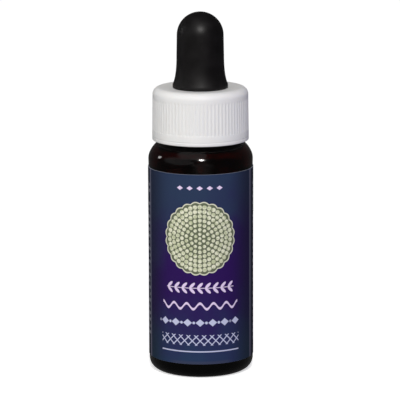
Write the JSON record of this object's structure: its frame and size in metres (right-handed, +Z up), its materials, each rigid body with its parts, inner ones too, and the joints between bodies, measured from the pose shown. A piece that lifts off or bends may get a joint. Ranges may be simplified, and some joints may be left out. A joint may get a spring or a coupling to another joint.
{
  "type": "dropper bottle",
  "caption": "Small amber glass bottle with a wrapped label and a ribbed screw cap that carries a rubber squeeze bulb and a glass pipette; the closure unscrews along the neck's thread.",
  "frame": {"origin": "middle of the base, on the plane that the bottle stands on", "axes": "+Z up along the bottle's axis, towards the bulb; the label's panel faces -Y and its open seam faces +Y"},
  "size_m": [0.02, 0.0199, 0.0687],
  "materials": {
    "amber_glass": "very dark amber moulded glass, polished",
    "label_film": "coated paper label, satin, printed in navy and violet with pale ornaments",
    "contents": "clear, faintly straw-coloured liquid",
    "cap_plastic": "white moulded polypropylene, satin",
    "bulb_rubber": "black rubber, matte with a faint bloom",
    "clear_glass": "clear drawn glass tube with a fire-polished tip"
  },
  "bodies": {
    "bottle": {"bottle": "amber_glass", "label": "label_film", "liquid": "contents"},
    "dropper": {"pipette": "clear_glass"},
    "closure": {"cap": "cap_plastic", "bulb": "bulb_rubber"}
  },
  "joints": [
    {"name": "closure_rise", "type": "slide", "parent": "bottle", "child": "dropper", "axis": [0, 0, 1], "range_m": [0, 0.0032]},
    {"name": "cap_turn", "type": "hinge", "parent": "dropper", "child": "closure", "pos_m": [0, 0, 0.0495], "axis": [0, 0, 1], "range_deg": [0, 540]}
  ],
  "couplings": [
    {"joint": "closure_rise", "follows": "cap_turn", "m_per_rad": 0.00033688}
  ]
}
